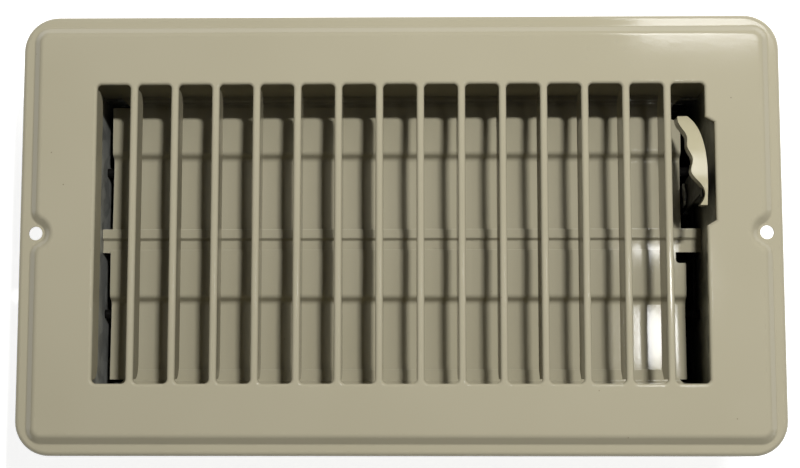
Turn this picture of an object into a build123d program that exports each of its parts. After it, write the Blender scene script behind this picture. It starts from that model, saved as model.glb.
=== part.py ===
from build123d import *
import math
import os

# Floor register for a 4 by 8 inch duct: stamped face, damper box, two linked blades and a thumb lever.
# Millimetres. X runs along the slots' row, Y along each slot, Z up out of the floor.
# The origin lies midway between the screw holes, on the underside of the rim.

# Sheet and fits
sheet = 0.8
seat_gap = 0.1
pivot_gap = 0.05
running_gap = 0.3

# Face plate
face_length = 241.3
face_width = 139.7
face_corner = 11.0
foot_from_edge = 3.7
step_run = 2.6
rim_lip = 1.2
rim_bend = 1.6
middle_rise = 2.2
middle_corner = 5.0
crown_bend = 2.4
foot_bend = 1.0
screw_from_edge = 5.35
screw_hole = 4.3
screw_relief = 2.9
relief_bend = 5.0

# Slots, fins and lever notch
slot_count = 15
bar_width = 2.4
slot_corner = 1.4
slot_bend = 1.0
fin_depth = 9.4
fin_corner = 5.0
bar_lip = 1.9
notch_low = 2.0
notch_high = 36.5
notch_reach = 2.9
notch_slope = 1.7

# Damper box
box_from_end = 20.45
box_from_side = 20.65
row_from_box_end = 2.7
slot_from_box_side = 1.9
box_drop = 55.0
stop_drop = 25.0
stop_width = 5.9
stop_jog = 0.9
stop_jog_from_wall = 1.4
stop_jog_run = 0.7
stop_bend = 0.4
stop_end_gap = 5.4
ear_width = 10.0
top_flange = 6.5
top_flange_width = 60.0
center_bar_width = 7.8
center_jog = 1.2
center_jog_at = 0.1
center_jog_run = 0.8
center_bend = 0.5
center_tab = 4.0
center_tab_width = 5.0
rivet_radius = 1.5
rivet_head = 2.6
rivet_head_height = 0.8
rivet_inset = 5.0
rivet_top_drop = 34.0
rivet_low_rise = 8.0

# Blades and pivots
pivot_drop = 31.2
pivot_from_middle = 0.3
blade_rear_reach = 20.9
blade_front_reach = 21.9
blade_left_gap = 2.9
blade_right_gap = 5.4
rear_blade_cutback = 1.0
blade_step_at = 3.7
blade_step_run = 1.6
blade_step_bend = 1.8
blade_high = 7.2
blade_rise = 0.5
blade_low = 4.2
blade_front_rise = 0.7
blade_notch_width = 3.3
blade_notch_depth = 4.6
blade_notch_corner = 1.2
ear_half_width = 5.0
ear_below_pivot = 3.6
pin_radius = 1.5
pin_head = 2.6
pin_head_height = 1.0
pin_end = 0.8

# Cranks and link: the blades turn through blade_swing, half of it each side of straight down
blade_swing = 75.0
lever_ratio = 3.0
crank_radius = 6.0
crank_thickness = 1.0
crank_eye = 2.4
crank_inset = 2.7
crank_pin_radius = 1.2
link_thickness = 0.8
link_gap = 0.25
link_pin_end = 0.3
link_slot_play = 0.3

# Lever and thumb grip
lever_y = 15.0
grip_radius = 32.0
grip_proud = 3.8
grip_height = 4.4
grip_length = 29.6
lever_thickness = 0.8
lever_inset = 4.1
lever_boss = 5.0
lever_arm_width = 6.0
lever_neck_width = 10.0
lever_rim_front = 4.2
lever_rim_rear = 9.2
lever_rim_depth = 3.0
grip_seat_depth = 2.2
grip_seat_play = 0.5
rivet_shank = 2.0
rivet_shoulder = 3.2
rivet_head_radius = 4.0
washer_thickness = 0.35
washer_radius = 3.6

# Places worked out from the sizes above
box_length = face_length - 2 * box_from_end
box_width = face_width - 2 * box_from_side
slot_pitch = (box_length - 2 * row_from_box_end) / slot_count
slot_width = slot_pitch - bar_width
slot_length = box_width - 2 * slot_from_box_side
middle_top = sheet + middle_rise
middle_under = middle_top - sheet
step_slope = math.atan2(middle_rise, step_run)
screw_x = face_length / 2 - screw_from_edge
fin_bottom = middle_top - fin_depth
stop_top = -stop_drop
box_bottom = -box_drop
end_inside = box_length / 2 - sheet
wall_inside = box_width / 2 - sheet
ear_inside = wall_inside - seat_gap - sheet
first_slot_x = -(slot_count - 1) / 2 * slot_pitch
last_slot_right = -first_slot_x + slot_width / 2
notch_x = last_slot_right + notch_reach
slot_edge_z = middle_top - bar_lip
pivot_z = -pivot_drop
rear_y = wall_inside / 2 - pivot_from_middle
front_y = -rear_y
blade_left = -end_inside + blade_left_gap
front_blade_right = end_inside - blade_right_gap
rear_blade_right = front_blade_right - rear_blade_cutback
crank_x = end_inside - crank_inset
link_x = crank_x + crank_thickness + link_gap
lever_x = end_inside - lever_inset - lever_thickness
lever_z = middle_top + grip_proud - grip_radius
half_swing = math.radians(blade_swing / 2)
lever_half_swing = half_swing / lever_ratio
link_travel = crank_radius * math.sin(half_swing)
lever_drop = link_travel / math.sin(lever_half_swing)
crank_pin_dy = -link_travel
crank_pin_z = pivot_z - crank_radius * math.cos(half_swing)
drive_pin_y = lever_y - link_travel
drive_pin_z = lever_z - lever_drop * math.cos(lever_half_swing)


def rod(radius, x_low, x_high, y, z):
    """Round bar along X."""
    return Pos((x_low + x_high) / 2, y, z) * Rot(0, 90, 0) * Cylinder(radius, x_high - x_low)


def cross_rod(radius, x, y_low, y_high, z):
    """Round bar along Y."""
    return Pos(x, (y_low + y_high) / 2, z) * Rot(90, 0, 0) * Cylinder(radius, y_high - y_low)


def block(x_low, x_high, y_low, y_high, z_low, z_high):
    """Box between two corners."""
    size = (x_high - x_low, y_high - y_low, z_high - z_low)
    return Pos((x_low + x_high) / 2, (y_low + y_high) / 2, (z_low + z_high) / 2) * Box(*size)


def along_x(profile, x_low, x_high):
    """Sweeps a profile drawn in Y and Z from one X to another."""
    return Pos(x_low, 0, 0) * extrude(Plane.YZ * profile, x_high - x_low)


def strip(points, thickness, bend):
    """Outline of a bent sheet that lies under a line of points, with its bends rounded."""
    top = FilletPolyline(*points, radius=bend)
    under = FilletPolyline(*[(y, z - thickness) for y, z in points], radius=bend)
    ends = [Line(top @ 0, under @ 0), Line(top @ 1, under @ 1)]
    return make_face(top.edges() + under.edges() + ends)


def pressed_form(inset):
    """Filled outside of the stamping or, with an inset, the hollow inside it."""
    base = -rim_lip - inset
    rim_top = sheet - inset
    outline = RectangleRounded(face_length - 2 * inset, face_width - 2 * inset, face_corner - inset)
    rim = extrude(Pos(0, 0, base) * outline, rim_top - base)
    rim = fillet(rim.faces().sort_by(Axis.Z)[-1].edges(), rim_bend - inset)
    shift = inset * math.tan(step_slope / 2)
    border = 2 * (foot_from_edge + shift)
    raised = RectangleRounded(face_length - border, face_width - border, middle_corner - shift)
    relief = screw_relief + shift
    raised -= [Pos(side * screw_x, 0) * Circle(relief) for side in (-1, 1)]
    mouths = raised.vertices().filter_by_position(Axis.Y, -relief, relief)
    raised = fillet(mouths, relief_bend - shift)
    lean = 90 - math.degrees(step_slope)
    middle = extrude(Pos(0, 0, rim_top) * raised, middle_rise, taper=lean)
    middle = fillet(middle.faces().sort_by(Axis.Z)[-1].edges(), crown_bend - inset)
    form = rim + middle
    near = sheet / 10
    flat = form.faces().filter_by(Plane.XY).filter_by_position(Axis.Z, rim_top - near, rim_top + near)[0]
    return fillet(flat.inner_wires()[0].edges(), foot_bend + inset)


def make_face_plate():
    """Stamped face: rim, raised middle, slots with turned-down edges, a fin at each slot's left side."""
    plate = pressed_form(0) - pressed_form(sheet)
    slot = RectangleRounded(slot_width, slot_length, slot_corner)
    straight = slot_length / 2 - slot_corner
    fin = block(-sheet, 0, -straight, straight, fin_bottom, middle_under)
    fin = fillet(fin.edges().filter_by(Axis.X).group_by(Axis.Z)[0], fin_corner)
    notch = make_face(Polyline(
        (last_slot_right - slot_corner, notch_low),
        (last_slot_right, notch_low),
        (notch_x, notch_low + notch_slope),
        (notch_x, notch_high - notch_slope),
        (last_slot_right, notch_high),
        (last_slot_right - slot_corner, notch_high),
        close=True,
    ))
    slot_x = [first_slot_x + index * slot_pitch for index in range(slot_count)]
    openings = Sketch() + [Pos(x, 0) * slot for x in slot_x] + notch
    edges = Sketch() + [offset(opening, sheet) for opening in openings.faces()]
    plate += Pos(0, 0, slot_edge_z) * extrude(edges, bar_lip - sheet / 2)
    plate -= extrude(openings, 2 * middle_top, both=True)
    plate += [Pos(x - slot_width / 2, 0, 0) * fin for x in slot_x]
    top = plate.faces().filter_by(Plane.XY).sort_by(Axis.Z)[-1]
    plate = fillet([edge for wire in top.inner_wires() for edge in wire.edges()], slot_bend)
    return plate - [Pos(side * screw_x, 0) * Cylinder(screw_hole / 2, 4 * middle_top) for side in (-1, 1)]


def rivet_places():
    """X and Z of the corner rivets in one long wall."""
    x = end_inside - rivet_inset
    heights = (-rivet_top_drop, box_bottom + rivet_low_rise)
    return [(side * x, z) for side in (-1, 1) for z in heights]


def make_wall(side):
    """Long wall of the box, up to the face, with a jogged and clipped stop ledge for the blade inside it."""
    half = box_length / 2
    wall = block(-half, half, wall_inside, wall_inside + sheet, box_bottom, middle_under - seat_gap)
    reach = end_inside - stop_end_gap
    tip = wall_inside - stop_width
    jog_y = wall_inside - stop_jog_from_wall
    points = [
        (wall_inside, stop_top + stop_jog), (jog_y, stop_top + stop_jog),
        (jog_y - stop_jog_run, stop_top), (tip, stop_top),
    ]
    ledge = along_x(strip(points, sheet, stop_bend), -reach, reach)
    plan = make_face(Polyline(
        (-reach, wall_inside), (reach, wall_inside),
        (reach - stop_width, tip), (-reach + stop_width, tip), close=True,
    ))
    wall += ledge & Pos(0, 0, box_bottom) * extrude(plan, box_drop)
    for x, z in rivet_places():
        wall -= cross_rod(rivet_radius + pivot_gap, x, wall_inside - sheet, wall_inside + 2 * sheet, z)
    return wall if side > 0 else mirror(wall, Plane.XZ)


def make_end_plate(side):
    """Galvanised end of the box: plate, two ears along the walls, a flange under the face."""
    edge = wall_inside - seat_gap
    plate = block(end_inside, end_inside + sheet, -edge, edge, box_bottom, middle_under)
    half_flange = top_flange_width / 2
    outer = end_inside + sheet + top_flange
    plate += block(end_inside, outer, -half_flange, half_flange, middle_under - sheet, middle_under)
    ear_top = stop_top - sheet - running_gap
    for low, high in ((ear_inside, edge), (-edge, -ear_inside)):
        plate += block(end_inside - ear_width, end_inside, low, high, box_bottom, ear_top)
    for y in (rear_y, front_y):
        plate -= rod(pin_radius + pivot_gap, end_inside - sheet, end_inside + 2 * sheet, y, pivot_z)
    for x, z in rivet_places():
        if x > 0:
            plate -= cross_rod(rivet_radius + pivot_gap, x, -box_width, box_width, z)
    if side > 0:
        room = sheet + seat_gap
        outside = end_inside + sheet
        low = slot_edge_z - seat_gap
        plate -= block(end_inside - sheet, outside, notch_low - room, notch_high + room, low, middle_top)
        hole = rivet_shank + pivot_gap
        return plate - rod(hole, end_inside - sheet, end_inside + 2 * sheet, lever_y, lever_z)
    return mirror(plate, Plane.YZ)


def make_corner_rivets():
    """Eight rivets, each with a head inside the ear and one outside the wall."""
    outside = wall_inside + sheet
    rivets = []
    for x, z in rivet_places():
        rivet = cross_rod(rivet_radius, x, ear_inside, outside, z)
        rivet += cross_rod(rivet_head, x, ear_inside - rivet_head_height, ear_inside, z)
        rivet += cross_rod(rivet_head, x, outside, outside + rivet_head_height, z)
        rivets += [rivet, mirror(rivet, Plane.XZ)]
    return Compound(children=rivets)


def make_center_bar():
    """Jogged strip between both blades, high over one and low under the other, tabbed to the end plates."""
    half = center_bar_width / 2
    high = stop_top + center_jog
    points = [
        (half, high), (center_jog_at + center_jog_run, high), (center_jog_at, stop_top), (-half, stop_top),
    ]
    length = end_inside - seat_gap
    bar = along_x(strip(points, sheet, center_bend), -length, length)
    tab_low = stop_top - sheet - center_tab
    for x_low, x_high in ((-length, -length + sheet), (length - sheet, length)):
        bar += block(x_low, x_high, -half, center_tab_width - half, tab_low, stop_top - sheet / 2)
    return bar


def make_blade(y, right_end):
    """Damper blade: a sheet stepped along its length, with an ear for the pivot pin at each end."""
    high = pivot_z + blade_high
    low = pivot_z + blade_low
    points = [
        (y + blade_rear_reach, high + blade_rise), (y + blade_step_at + blade_step_run, high),
        (y + blade_step_at, low), (y - blade_front_reach, low + blade_front_rise),
    ]
    blade = along_x(strip(points, sheet, blade_step_bend), blade_left, right_end)
    ear_slope = blade_front_rise / (blade_front_reach + blade_step_at)
    ear_top = low - sheet / 2
    front_top = low + ear_slope * (blade_step_at + ear_half_width) - sheet / 2
    ear = make_face(Polyline(
        (y + blade_step_at, ear_top), (y + ear_half_width / 2, pivot_z - ear_below_pivot),
        (y - ear_half_width / 2, pivot_z - ear_below_pivot), (y - ear_half_width, front_top), close=True,
    ))
    for x_low in (blade_left, right_end - sheet):
        blade += along_x(ear, x_low, x_low + sheet)
        blade -= rod(pin_radius + pivot_gap, x_low - sheet, x_low + 2 * sheet, y, pivot_z)
    notch = RectangleRounded(2 * blade_notch_width, 2 * blade_notch_depth, blade_notch_corner)
    return blade - extrude(Pos(right_end, y + blade_rear_reach, low) * notch, 2 * blade_high)


def make_pin(y, ear_inner):
    """Right-hand pivot pin, riveted to a blade's ear, its head inside, its end through the end plate."""
    head = rod(pin_head, ear_inner - pin_head_height, ear_inner, y, pivot_z)
    return head + rod(pin_radius, ear_inner, end_inside + sheet + pin_end, y, pivot_z)


def eye_plate(points, radius):
    """Flat link with a round end about each point, drawn in Y and Z."""
    shape = Sketch() + [Pos(y, z) * Circle(radius) for y, z in points]
    for start, end in zip(points, points[1:]):
        length = math.dist(start, end)
        turn = math.degrees(math.atan2(end[1] - start[1], end[0] - start[0]))
        middle = Pos((start[0] + end[0]) / 2, (start[1] + end[1]) / 2)
        shape += middle * Rot(0, 0, turn) * Rectangle(length, 2 * radius)
    return shape


def make_crank(y):
    """Crank staked on a blade's right-hand pin."""
    shape = eye_plate([(y, pivot_z), (y + crank_pin_dy, crank_pin_z)], crank_eye)
    shape -= Pos(y, pivot_z) * Circle(pin_radius + pivot_gap)
    shape -= Pos(y + crank_pin_dy, crank_pin_z) * Circle(crank_pin_radius + pivot_gap)
    return along_x(shape, crank_x, crank_x + crank_thickness)


def make_crank_pin(y):
    """Pin from a crank through the link bar."""
    end = link_x + link_thickness + link_pin_end
    return rod(crank_pin_radius, crank_x, end, y + crank_pin_dy, crank_pin_z)


def make_link_bar():
    """Link between both cranks, with a lug and an upright slot for the lever's drive pin."""
    rear_eye = (rear_y + crank_pin_dy, crank_pin_z)
    front_eye = (front_y + crank_pin_dy, crank_pin_z)
    shape = eye_plate([rear_eye, front_eye], crank_eye)
    slot_rise = crank_radius * (1 - math.cos(half_swing)) - lever_drop * (1 - math.cos(lever_half_swing))
    slot_half = crank_pin_radius + link_slot_play
    shape += eye_plate([(drive_pin_y, crank_pin_z), (drive_pin_y, drive_pin_z)], crank_eye + link_slot_play)
    for y, z in (rear_eye, front_eye):
        shape -= Pos(y, z) * Circle(crank_pin_radius + pivot_gap)
    slot_place = Pos(drive_pin_y, drive_pin_z + slot_rise / 2) * Rot(0, 0, 90)
    slot = slot_place * SlotCenterToCenter(slot_rise, 2 * slot_half)
    return along_x(shape - slot, link_x, link_x + link_thickness)


def turn_about_lever(angle, radius):
    """Y and Z of a point at an angle from straight up, towards +Y, and a radius from the lever's pivot."""
    turn = math.radians(angle)
    return lever_y + radius * math.sin(turn), lever_z + radius * math.cos(turn)


def ring_sector(inner, outer, low, high):
    """Sector of a flat ring about the lever's pivot, drawn in Y and Z."""
    middle = (low + high) / 2
    outer_arc = ThreePointArc(*[turn_about_lever(angle, outer) for angle in (low, middle, high)])
    inner_arc = ThreePointArc(*[turn_about_lever(angle, inner) for angle in (high, middle, low)])
    sides = [Line(outer_arc @ 1, inner_arc @ 0), Line(inner_arc @ 1, outer_arc @ 0)]
    return make_face([outer_arc, sides[0], inner_arc, sides[1]])


grip_inner = grip_radius - grip_height
lever_rim_outer = grip_inner + grip_seat_depth - seat_gap
lever_rim_inner = lever_rim_outer - lever_rim_depth
lever_rim_low = -math.degrees(math.asin(lever_rim_front / lever_rim_outer))
lever_rim_high = math.degrees(math.asin(lever_rim_rear / lever_rim_outer))
seat_play = math.degrees(math.asin(grip_seat_play / lever_rim_outer))
lever_neck_angle = (lever_rim_low + lever_rim_high) / 2


def make_lever_arm():
    """Steel arm: boss, neck to a rim inside the grip, and a leg down to the drive pin."""
    pivot = (lever_y, lever_z)
    shape = Pos(*pivot) * Circle(lever_boss)
    shape += eye_plate([pivot, (drive_pin_y, drive_pin_z)], lever_arm_width / 2)
    neck_end = turn_about_lever(lever_neck_angle, lever_rim_inner + lever_rim_depth / 2)
    neck_length = math.dist(pivot, neck_end)
    middle = ((pivot[0] + neck_end[0]) / 2, (pivot[1] + neck_end[1]) / 2)
    shape += Pos(*middle) * Rot(0, 0, -lever_neck_angle) * Rectangle(lever_neck_width, neck_length)
    shape += ring_sector(lever_rim_inner, lever_rim_outer, lever_rim_low, lever_rim_high)
    shape -= Pos(*pivot) * Circle(rivet_shank + pivot_gap)
    shape -= Pos(drive_pin_y, drive_pin_z) * Circle(crank_pin_radius + pivot_gap)
    return along_x(shape, lever_x, lever_x + lever_thickness)


def make_lever_rivet():
    """Shouldered rivet that carries the lever on the right end plate."""
    shoulder = lever_x + lever_thickness + washer_thickness + 2 * seat_gap
    outside = end_inside + sheet
    head_face = lever_x - seat_gap
    head = rod(rivet_head_radius, head_face - rivet_head_height, head_face, lever_y, lever_z)
    body = rod(rivet_shank, head_face, outside, lever_y, lever_z)
    body += rod(rivet_shoulder, shoulder, end_inside, lever_y, lever_z)
    return head + body + rod(rivet_shoulder, outside, outside + rivet_head_height, lever_y, lever_z)


def make_lever_washer():
    """Spring washer between the lever and the rivet's shoulder."""
    low = lever_x + lever_thickness + seat_gap
    ring = rod(washer_radius, low, low + washer_thickness, lever_y, lever_z)
    return ring - rod(rivet_shank + pivot_gap, low - sheet, low + sheet, lever_y, lever_z)


def make_drive_pin():
    """Pin from the lever's leg into the link bar's slot."""
    return rod(crank_pin_radius, lever_x, link_x + link_thickness + link_pin_end, drive_pin_y, drive_pin_z)


# Outline of the thumb grip from above, in parts of its length: X from the lever arm's inner face and
# Y from the lever's pivot
grip_back = [
    (-0.098, 0.764), (-0.037, 0.676), (0.017, 0.514),
    (0.041, 0.348), (0.051, 0.101), (0.047, -0.236),
]
grip_scallops = [
    (-0.030, -0.236), (-0.041, 0.007), (-0.122, 0.122), (-0.098, 0.257),
    (-0.145, 0.392), (-0.139, 0.514), (-0.189, 0.628), (-0.203, 0.764),
]


def grip_line(outline):
    """Curve through an outline of the grip, at its real size and place."""
    return Spline(*[(lever_x + x * grip_length, lever_y + y * grip_length) for x, y in outline])


def make_thumb_grip():
    """Curved tab with a smooth back and a scalloped front, seated over the lever's rim."""
    back = grip_line(grip_back)
    front = grip_line(grip_scallops)
    plan = make_face([back, Line(back @ 1, front @ 0), front, Line(front @ 1, back @ 0)])
    tower = Pos(0, 0, lever_z) * extrude(plan, 2 * grip_radius)
    rim = Pos(lever_y, lever_z) * (Circle(grip_radius) - Circle(grip_inner))
    ring = along_x(rim, lever_x - grip_length, lever_x + grip_length)
    seat_low = lever_rim_low - seat_play
    seat_high = lever_rim_high + seat_play
    seat = ring_sector(grip_inner - seat_gap, lever_rim_outer + seat_gap, seat_low, seat_high)
    return ring & tower - along_x(seat, lever_x - seat_gap, lever_x + lever_thickness + seat_gap)


nodes = {
    "face_plate": make_face_plate(),
    "rear_wall": make_wall(1),
    "front_wall": make_wall(-1),
    "left_end_plate": make_end_plate(-1),
    "right_end_plate": make_end_plate(1),
    "corner_rivets": make_corner_rivets(),
    "center_bar": make_center_bar(),
    "rear_blade": make_blade(rear_y, rear_blade_right),
    "front_blade": make_blade(front_y, front_blade_right),
    "rear_left_pin": mirror(make_pin(rear_y, -blade_left - sheet), Plane.YZ),
    "rear_right_pin": make_pin(rear_y, rear_blade_right - sheet),
    "front_left_pin": mirror(make_pin(front_y, -blade_left - sheet), Plane.YZ),
    "front_right_pin": make_pin(front_y, front_blade_right - sheet),
    "rear_crank": make_crank(rear_y),
    "front_crank": make_crank(front_y),
    "rear_crank_pin": make_crank_pin(rear_y),
    "front_crank_pin": make_crank_pin(front_y),
    "link_bar": make_link_bar(),
    "lever_arm": make_lever_arm(),
    "lever_rivet": make_lever_rivet(),
    "lever_washer": make_lever_washer(),
    "lever_drive_pin": make_drive_pin(),
    "thumb_grip": make_thumb_grip(),
}

os.makedirs("parts", exist_ok=True)
for name, shape in nodes.items():
    export_step(shape, f"parts/{name}.step")
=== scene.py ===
import math

import bmesh
import bpy
from mathutils import Matrix, Vector


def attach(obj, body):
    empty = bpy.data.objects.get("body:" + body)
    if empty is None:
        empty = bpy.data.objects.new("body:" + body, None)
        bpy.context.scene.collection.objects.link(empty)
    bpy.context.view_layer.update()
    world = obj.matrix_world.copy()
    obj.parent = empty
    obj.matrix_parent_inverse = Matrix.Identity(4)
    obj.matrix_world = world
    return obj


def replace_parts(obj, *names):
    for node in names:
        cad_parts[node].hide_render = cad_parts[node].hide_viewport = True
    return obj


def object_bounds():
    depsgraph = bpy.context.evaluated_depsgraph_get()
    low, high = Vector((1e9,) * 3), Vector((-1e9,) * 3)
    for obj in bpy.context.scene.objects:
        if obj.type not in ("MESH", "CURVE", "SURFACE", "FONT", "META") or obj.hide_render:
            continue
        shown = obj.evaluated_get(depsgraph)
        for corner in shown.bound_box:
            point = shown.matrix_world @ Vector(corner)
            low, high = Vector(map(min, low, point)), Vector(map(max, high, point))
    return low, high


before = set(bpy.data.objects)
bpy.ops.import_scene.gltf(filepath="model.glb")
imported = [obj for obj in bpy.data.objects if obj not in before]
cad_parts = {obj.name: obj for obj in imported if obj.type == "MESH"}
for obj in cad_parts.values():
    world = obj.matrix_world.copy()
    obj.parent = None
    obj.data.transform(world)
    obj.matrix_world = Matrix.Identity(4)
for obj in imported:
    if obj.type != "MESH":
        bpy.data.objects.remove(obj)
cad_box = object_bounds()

# Stamped face: one sheet of cold-rolled steel, drawn up to a raised middle inside a narrow flat rim.
# The slots are lanced with their edges turned down, and a tongue beside each slot is folded into a fin.
# It is coated after pressing, so the enamel runs over every bend and cut edge.


def linear(hex_code):
    """Linear colour, with alpha, of an sRGB hex code."""
    values = [int(hex_code[start:start + 2], 16) / 255 for start in (0, 2, 4)]
    return [v / 12.92 if v <= 0.04045 else ((v + 0.055) / 1.055) ** 2.4 for v in values] + [1.0]


def add_node(tree, kind, settings, links):
    """Shader node with its properties or socket values set, and its sockets linked."""
    node = tree.nodes.new(kind)
    for key, value in settings.items():
        if hasattr(node, str(key)):
            setattr(node, key, value)
        else:
            node.inputs[key].default_value = value
    for key, source in links.items():
        tree.links.new(source, node.inputs[key])
    return node


# Baked enamel on steel: glossy tan with a faint orange-peel ripple, a slow drift of tone and some dust nibs.
# Along bends and cut edges the colour is painted paler, a painted highlight on the rounded edges.
enamel = bpy.data.materials.new("tan_baked_enamel")
enamel.use_nodes = True
tree = enamel.node_tree
shader = tree.nodes["Principled BSDF"]
place = add_node(tree, "ShaderNodeTexCoord", {}, {}).outputs["Object"]
drift_size = 0.045
ripple_size = 0.0019
fine_ripple_size = 0.0008
nib_spacing = 0.009
drift = add_node(tree, "ShaderNodeTexNoise", {"Scale": 1 / drift_size, "Detail": 2.0}, {"Vector": place})
tone = add_node(
    tree, "ShaderNodeMix",
    {"name": "coat_tone", "data_type": "RGBA", 6: linear("AFA88F"), 7: linear("B6AF97")},
    {0: drift.outputs["Fac"]},
)
# Painted highlight: the marked rounds of bends and cut edges take a paler colour.
edge = add_node(tree, "ShaderNodeAttribute", {"attribute_name": "painted_edge_highlight"}, {})
edge_highlight_tone = add_node(
    tree, "ShaderNodeMix", {"data_type": "RGBA", 7: linear("C6C0AA")},
    {0: edge.outputs["Fac"], 6: tone.outputs[2]},
)
nib = add_node(tree, "ShaderNodeTexVoronoi", {"Scale": 1 / nib_spacing}, {"Vector": place})
nib_spot = add_node(
    tree, "ShaderNodeMapRange", {"From Min": 0.012, "From Max": 0.03, "To Min": 1.0, "To Max": 0.0},
    {"Value": nib.outputs["Distance"]},
)
nib_tone = add_node(
    tree, "ShaderNodeMix", {"data_type": "RGBA", 7: linear("857D68")},
    {0: nib_spot.outputs["Result"], 6: edge_highlight_tone.outputs[2]},
)
tree.links.new(nib_tone.outputs[2], shader.inputs["Base Color"])
gloss = add_node(
    tree, "ShaderNodeMapRange", {"From Min": 0.3, "From Max": 0.7, "To Min": 0.06, "To Max": 0.09},
    {"Value": drift.outputs["Fac"]},
)
tree.links.new(gloss.outputs["Result"], shader.inputs["Roughness"])
ripple = add_node(tree, "ShaderNodeTexNoise", {"Scale": 1 / ripple_size, "Detail": 1.0}, {"Vector": place})
fine = add_node(
    tree, "ShaderNodeTexNoise", {"Scale": 1 / fine_ripple_size, "Detail": 1.0},
    {"Vector": place},
)
peel = add_node(
    tree, "ShaderNodeMix", {"data_type": "FLOAT", 0: 0.35},
    {2: ripple.outputs["Fac"], 3: fine.outputs["Fac"]},
)
raised = add_node(
    tree, "ShaderNodeMath", {"operation": "ADD"},
    {0: peel.outputs[0], 1: nib_spot.outputs["Result"]},
)
bump = add_node(
    tree, "ShaderNodeBump", {"Strength": 0.2, "Distance": 0.00004}, {"Height": raised.outputs["Value"]},
)
tree.links.new(bump.outputs["Normal"], shader.inputs["Normal"])


def cad_copy(nodes):
    """Mesh of CAD nodes with its facets merged into whole faces."""
    mesh = bmesh.new()
    for node in nodes:
        mesh.from_mesh(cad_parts[node].data)
    merge_distance = 2e-6
    flat_angle = math.radians(0.2)
    bmesh.ops.remove_doubles(mesh, verts=mesh.verts, dist=merge_distance)
    bmesh.ops.dissolve_limit(
        mesh, angle_limit=flat_angle, use_dissolve_boundaries=False,
        verts=mesh.verts, edges=mesh.edges, delimit={"NORMAL"},
    )
    return mesh


def coated_piece(name, mesh, body, material, edge_round):
    """Piece from a mesh, with its cut edges rounded over and marked for a painted edge highlight, and its
    flats shaded flat.
    """
    # The mark carries the painted highlight along the rounded edges.
    mark = mesh.verts.layers.float.new("painted_edge_highlight")
    cut_angle = math.radians(45)
    cuts = [e for e in mesh.edges if e.is_manifold and e.calc_face_angle() > cut_angle]
    rounded = bmesh.ops.bevel(
        mesh, geom=cuts, offset=edge_round, offset_type="OFFSET", affect="EDGES", segments=2,
        profile=0.5, material=-1, clamp_overlap=True,
    )
    strip = set(rounded["faces"])
    for vert in rounded["verts"]:
        vert[mark] = float(strip.issuperset(vert.link_faces))
    for face in mesh.faces:
        face.smooth = True
    crease_angle = math.radians(35)
    for e in mesh.edges:
        e.smooth = e.is_manifold and e.calc_face_angle() < crease_angle
    data = bpy.data.meshes.new(name)
    mesh.to_mesh(data)
    mesh.free()
    data.materials.append(material)
    piece = bpy.data.objects.new(name, data)
    bpy.context.scene.collection.objects.link(piece)
    piece.modifiers.new("flat_faces", "WEIGHTED_NORMAL").keep_sharp = True
    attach(piece, body)
    return piece


def coated_copy(name, nodes, body, material, slot, edge_round):
    """Piece that stands for CAD nodes of the same shape."""
    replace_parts(coated_piece(name, cad_copy(nodes), body, material, edge_round), *nodes)


# In the right half each fin hangs at its bar's left edge, so the copy's own fins there are cut off.
sheet_edge = 0.00018
slot_field = Vector((0.097, 0.0475))
fin_cut = 0.001
face = cad_copy(["face_plate"])
old_fins = [
    f for f in face.faces
    if min(v.co.z for v in f.verts) < fin_cut and min(v.co.x for v in f.verts) > 0.0
    and max(v.co.x for v in f.verts) < slot_field.x and max(abs(v.co.y) for v in f.verts) < slot_field.y
]
fin_parts = set(old_fins)
for f in old_fins:
    fin_parts.update(f.edges)
    fin_parts.update(f.verts)
trimmed = bmesh.ops.bisect_plane(
    face, geom=list(fin_parts), plane_co=(0.0, 0.0, fin_cut), plane_no=(0.0, 0.0, 1.0), clear_inner=True,
)
open_edges = [item for item in trimmed["geom_cut"] if isinstance(item, bmesh.types.BMEdge)]
bmesh.ops.holes_fill(face, edges=open_edges, sides=0)

bars_each_half = 7
bar_pitch = 0.013
bar_half = 0.0012
fin_top = 0.0016
fin_low = -0.0082
fin_lean = 0.0003
fin_sheet = 0.0008
fin_end = 0.0459
fin_corner = 0.003
side_outline = [
    (-fin_end, fin_top), (-fin_end, fin_low + fin_corner), (-fin_end + fin_corner, fin_low),
    (fin_end - fin_corner, fin_low), (fin_end, fin_low + fin_corner), (fin_end, fin_top),
]
for index in range(bars_each_half):
    left = (index + 0.5) * bar_pitch - bar_half
    corners = []
    for y, z in side_outline:
        lean = fin_lean * (fin_top - z) / (fin_top - fin_low)
        corners.append(face.verts.new((left - lean, y, z)))
    fin = face.faces.new(corners)
    thick = bmesh.ops.extrude_face_region(face, geom=[fin])
    moved = [item for item in thick["geom"] if isinstance(item, bmesh.types.BMVert)]
    bmesh.ops.translate(face, verts=moved, vec=(fin_sheet, 0.0, 0.0))
    solid = {fin}
    for vert in moved + corners:
        solid.update(vert.link_faces)
    bmesh.ops.recalc_face_normals(face, faces=list(solid))
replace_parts(coated_piece("stamped_face", face, "frame", enamel, sheet_edge), "face_plate")

# Long walls of the damper box: one folded sheet each, in the same enamel, darkened as painted shade.
# Each carries a jogged stop ledge, on which or under which a blade's edge closes.
# Darker copy of the same enamel for the parts inside the box: painted shade for the box's shaded interior.
box_shade_enamel = enamel.copy()
box_shade_enamel.name = "box_shade_tan_enamel"
box_shade_tone = box_shade_enamel.node_tree.nodes["coat_tone"].inputs
box_shade_tone[6].default_value = linear("9C967F")
box_shade_tone[7].default_value = linear("A39D88")
for side in ("rear", "front"):
    coated_copy(f"{side}_box_wall", [f"{side}_wall"], "frame", box_shade_enamel, "tan_enamel", sheet_edge)

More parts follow.
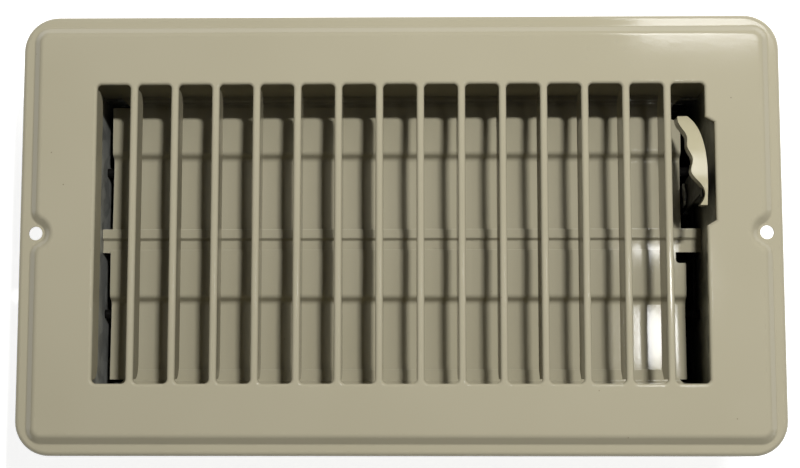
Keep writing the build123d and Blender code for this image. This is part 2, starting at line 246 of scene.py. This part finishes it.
# End plates of the box: bare galvanised sheet, ears folded in and a flange folded out under the face.
# They were cut after galvanising and are riveted to the walls.
# Galvanised sheet: grey zinc with flaky crystals a few millimetres across and a fine frosty grit.
galvanised = bpy.data.materials.new("galvanised_sheet_steel")
galvanised.use_nodes = True
tree = galvanised.node_tree
shader = tree.nodes["Principled BSDF"]
place = add_node(tree, "ShaderNodeTexCoord", {}, {}).outputs["Object"]
spangle_size = 0.0045
grit_size = 0.0008
spangle = add_node(tree, "ShaderNodeTexVoronoi", {"Scale": 1 / spangle_size}, {"Vector": place})
grit = add_node(tree, "ShaderNodeTexNoise", {"Scale": 1 / grit_size, "Detail": 3.0}, {"Vector": place})
crystal = add_node(
    tree, "ShaderNodeMix", {"data_type": "FLOAT", 0: 0.5},
    {2: spangle.outputs["Color"], 3: grit.outputs["Fac"]},
)
zinc_tone = add_node(
    tree, "ShaderNodeMix", {"data_type": "RGBA", 6: linear("5A5B58"), 7: linear("C9CAC2")},
    {0: crystal.outputs[0]},
)
tree.links.new(zinc_tone.outputs[2], shader.inputs["Base Color"])
frost = add_node(
    tree, "ShaderNodeMapRange", {"From Min": 0.2, "From Max": 0.8, "To Min": 0.34, "To Max": 0.6},
    {"Value": crystal.outputs[0]},
)
tree.links.new(frost.outputs["Result"], shader.inputs["Roughness"])
bump = add_node(
    tree, "ShaderNodeBump", {"Strength": 0.6, "Distance": 0.00004},
    {"Height": grit.outputs["Fac"]},
)
tree.links.new(bump.outputs["Normal"], shader.inputs["Normal"])
shader.inputs["Metallic"].default_value = 0.3
for side in ("left", "right"):
    end_sheet = (f"{side}_end_sheet", [f"{side}_end_plate"], "frame")
    coated_copy(*end_sheet, galvanised, "galvanised_steel", sheet_edge)

# Corner rivets: steel, headed cold from inside the box, two at each corner, zinc plated.
# Zinc plate: bright bluish grey, a little cloudy where it has been handled.
zinc = bpy.data.materials.new("zinc_plated_steel")
zinc.use_nodes = True
tree = zinc.node_tree
shader = tree.nodes["Principled BSDF"]
place = add_node(tree, "ShaderNodeTexCoord", {}, {}).outputs["Object"]
cloud_size = 0.0025
cloud = add_node(tree, "ShaderNodeTexNoise", {"Scale": 1 / cloud_size, "Detail": 4.0}, {"Vector": place})
plate_tone = add_node(
    tree, "ShaderNodeMix", {"data_type": "RGBA", 6: linear("85888A"), 7: linear("B9BCBC")},
    {0: cloud.outputs["Fac"]},
)
tree.links.new(plate_tone.outputs[2], shader.inputs["Base Color"])
dulled = add_node(
    tree, "ShaderNodeMapRange", {"From Min": 0.3, "From Max": 0.7, "To Min": 0.25, "To Max": 0.45},
    {"Value": cloud.outputs["Fac"]},
)
tree.links.new(dulled.outputs["Result"], shader.inputs["Roughness"])
shader.inputs["Metallic"].default_value = 1.0
head_round = 0.0005
coated_copy("box_corner_rivets", ["corner_rivets"], "frame", zinc, "zinc_steel", head_round)

# Centre bar: a narrow strip with a jog along it, over the rear blade's edge and under the front one's.
# It is enamelled with the box and tabbed to both end plates.
# Its darker enamel is painted shade, as on every part inside the box.
coated_copy("jogged_center_bar", ["center_bar"], "frame", box_shade_enamel, "tan_enamel", sheet_edge)

# Damper blades: enamelled sheet with a rolled step along its length, which stiffens it.
# An ear folded down at each end takes the pivot pin.
# The blades take the darker enamel: painted shade inside the box.
for side in ("rear", "front"):
    blade = (f"{side}_damper_blade", [f"{side}_blade"], f"{side}_damper")
    coated_copy(*blade, box_shade_enamel, "tan_enamel", sheet_edge)

# Pivot pins, cranks and crank pins: small headed and stamped parts, blackened.
# The pins are riveted to the blades' ears and turn in the end plates. A crank is staked on each right pin.
# Black oxide on steel: near black with a faint oily gloss.
black = bpy.data.materials.new("black_oxide_steel")
black.use_nodes = True
tree = black.node_tree
shader = tree.nodes["Principled BSDF"]
place = add_node(tree, "ShaderNodeTexCoord", {}, {}).outputs["Object"]
oil_size = 0.003
oil = add_node(tree, "ShaderNodeTexNoise", {"Scale": 1 / oil_size, "Detail": 4.0}, {"Vector": place})
oxide_tone = add_node(
    tree, "ShaderNodeMix", {"data_type": "RGBA", 6: linear("171615"), 7: linear("2B2927")},
    {0: oil.outputs["Fac"]},
)
tree.links.new(oxide_tone.outputs[2], shader.inputs["Base Color"])
oily = add_node(
    tree, "ShaderNodeMapRange", {"From Min": 0.3, "From Max": 0.7, "To Min": 0.35, "To Max": 0.55},
    {"Value": oil.outputs["Fac"]},
)
tree.links.new(oily.outputs["Result"], shader.inputs["Roughness"])
shader.inputs["Metallic"].default_value = 0.7
pin_edge = 0.0002
for side in ("rear", "front"):
    for part in ("left_pin", "right_pin", "crank", "crank_pin"):
        small_part = (f"{side}_damper_{part}", [f"{side}_{part}"], f"{side}_damper")
        coated_copy(*small_part, black, "black_steel", pin_edge)

# Link bar: a stamped strip that joins both cranks, with an upright slot for the lever's pin.
# It is blackened as the pins are.
link_edge = 0.00012
coated_copy("blade_link_bar", ["link_bar"], "link", black, "black_steel", link_edge)

# Lever: a stamped steel arm on a shouldered rivet, held by a spring washer, with a pin that moves the link.
# The arm is blackened, and the rivet, washer and pin are zinc plated.
coated_copy("stamped_lever_arm", ["lever_arm"], "lever", black, "black_steel", link_edge)
coated_copy("lever_pivot_rivet", ["lever_rivet"], "frame", zinc, "zinc_steel", pin_edge)
washer_edge = 0.00008
coated_copy("lever_spring_washer", ["lever_washer"], "frame", zinc, "zinc_steel", washer_edge)
coated_copy("lever_link_pin", ["lever_drive_pin"], "lever", zinc, "zinc_steel", pin_edge)

# Thumb grip: a moulded tab pushed over the lever's rim, smooth at the back and scalloped for the thumb.
# Moulded plastic in the enamel's tan: glossy, with a faint flow pattern from the mould.
plastic = bpy.data.materials.new("tan_moulded_plastic")
plastic.use_nodes = True
tree = plastic.node_tree
shader = tree.nodes["Principled BSDF"]
place = add_node(tree, "ShaderNodeTexCoord", {}, {}).outputs["Object"]
flow_size = 0.006
flow = add_node(tree, "ShaderNodeTexNoise", {"Scale": 1 / flow_size, "Detail": 2.0}, {"Vector": place})
plastic_tone = add_node(
    tree, "ShaderNodeMix", {"data_type": "RGBA", 6: linear("B3AB8C"), 7: linear("BFB89B")},
    {0: flow.outputs["Fac"]},
)
tree.links.new(plastic_tone.outputs[2], shader.inputs["Base Color"])
mould_gloss = add_node(
    tree, "ShaderNodeMapRange", {"From Min": 0.3, "From Max": 0.7, "To Min": 0.18, "To Max": 0.28},
    {"Value": flow.outputs["Fac"]},
)
tree.links.new(mould_gloss.outputs["Result"], shader.inputs["Roughness"])
grip_edge = 0.0005
coated_copy("lever_thumb_grip", ["thumb_grip"], "lever", plastic, "tan_plastic", grip_edge)

# Floor: a pale matt sheet that the box stands on, with a black sheet in the box's open underside as painted
# shade.
# The sheet shows white to the camera and in reflections, so only a faint shadow is left by the rim.
floor_material = bpy.data.materials.new("white_matt_paper")
floor_material.use_nodes = True
tree = floor_material.node_tree
shader = tree.nodes["Principled BSDF"]
shader.inputs["Base Color"].default_value = linear("F6F6F4")
shader.inputs["Roughness"].default_value = 0.95
shader.inputs["Emission Color"].default_value = linear("FFFFFF")
path = add_node(tree, "ShaderNodeLightPath", {}, {})
seen = add_node(
    tree, "ShaderNodeMath", {"operation": "MAXIMUM"},
    {0: path.outputs["Is Camera Ray"], 1: path.outputs["Is Glossy Ray"]},
)
shown = add_node(
    tree, "ShaderNodeMath", {"operation": "MAXIMUM"},
    {0: seen.outputs["Value"], 1: path.outputs["Is Transmission Ray"]},
)
glow = add_node(tree, "ShaderNodeMath", {"operation": "MULTIPLY", 1: 0.85}, {0: shown.outputs["Value"]})
tree.links.new(glow.outputs["Value"], shader.inputs["Emission Strength"])
# Black sheet under the box, painted shade: almost no light comes back from it, so the open duct below the
# box looks dark.
duct_shade = bpy.data.materials.new("painted_duct_shade")
duct_shade.use_nodes = True
duct_shade.node_tree.nodes["Principled BSDF"].inputs["Base Color"].default_value = linear("0C0B0C")
duct_shade.node_tree.nodes["Principled BSDF"].inputs["Roughness"].default_value = 1.0
floor_half = 3.0
duct_shade_half = Vector((0.1, 0.049))
duct_shade_lift = 0.0003
sheets = [
    ("studio_floor", floor_material, Vector((floor_half, floor_half)), 0.0),
    ("duct_shade_sheet", duct_shade, duct_shade_half, duct_shade_lift),
]
for name, material, half, lift in sheets:
    ground = bmesh.new()
    ground_height = Matrix.Translation((0.0, 0.0, cad_box[0][2] + lift))
    ground_place = ground_height @ Matrix.Diagonal((half.x, half.y, 1.0, 1.0))
    bmesh.ops.create_grid(ground, x_segments=1, y_segments=1, size=1.0, matrix=ground_place)
    data = bpy.data.meshes.new(name)
    ground.to_mesh(data)
    ground.free()
    data.materials.append(material)
    sheet = bpy.data.objects.new(name, data)
    bpy.context.scene.collection.objects.link(sheet)

# Lights: a small box high at the right rear throws the bars' soft shadows and is kept out of reflections.
# A weak one in front of it shows as the glare on the blades, and a long one further back lights the rims.
lamps = [
    ("right_box_lamp", (0.175, 0.25, 0.84), (0.06, 0.03), 7.3),
    ("glare_lamp", (0.221, 0.045, 0.84), (0.041, 0.05), 0.15),
    ("rear_strip_box", (0.256, 0.53, 0.84), (0.115, 0.54), 2.0),
]
for name, spot, size, watts in lamps:
    lamp = bpy.data.lights.new(name, "AREA")
    lamp.shape = "RECTANGLE"
    lamp.size, lamp.size_y = size
    lamp.energy = watts
    holder = bpy.data.objects.new(name, lamp)
    holder.location = spot
    holder.visible_glossy = name != "right_box_lamp"
    bpy.context.scene.collection.objects.link(holder)

# Room: a soft even grey, the same to the camera as to the object.
room = bpy.data.worlds.new("studio_room")
bpy.context.scene.world = room
room.use_nodes = True
fill = room.node_tree.nodes["Background"]
fill.inputs["Color"].default_value = linear("FFFFFF")
fill.inputs["Strength"].default_value = 0.06

# Camera: almost straight down on the face, leaning a little towards the front edge.
distance = 0.470
tilt = math.radians(6.0)
yaw = math.radians(0.9)
target = Vector((0.0, -0.0003, 0.0))
back = Vector((math.sin(yaw), -math.sin(tilt), math.cos(tilt))).normalized()
right = Vector((0.0, 1.0, 0.0)).cross(back).normalized()
lens = bpy.data.cameras.new("photo_camera")
lens.sensor_width = 36.0
lens.lens = 67.0
lens.clip_start = 0.01
eye = bpy.data.objects.new("photo_camera", lens)
eye.rotation_euler = Matrix((right, back.cross(right), back)).transposed().to_euler()
eye.location = target + distance * back
bpy.context.scene.collection.objects.link(eye)
bpy.context.scene.camera = eye
bpy.context.scene.view_settings.view_transform = "Standard"

bpy.context.view_layer.update()
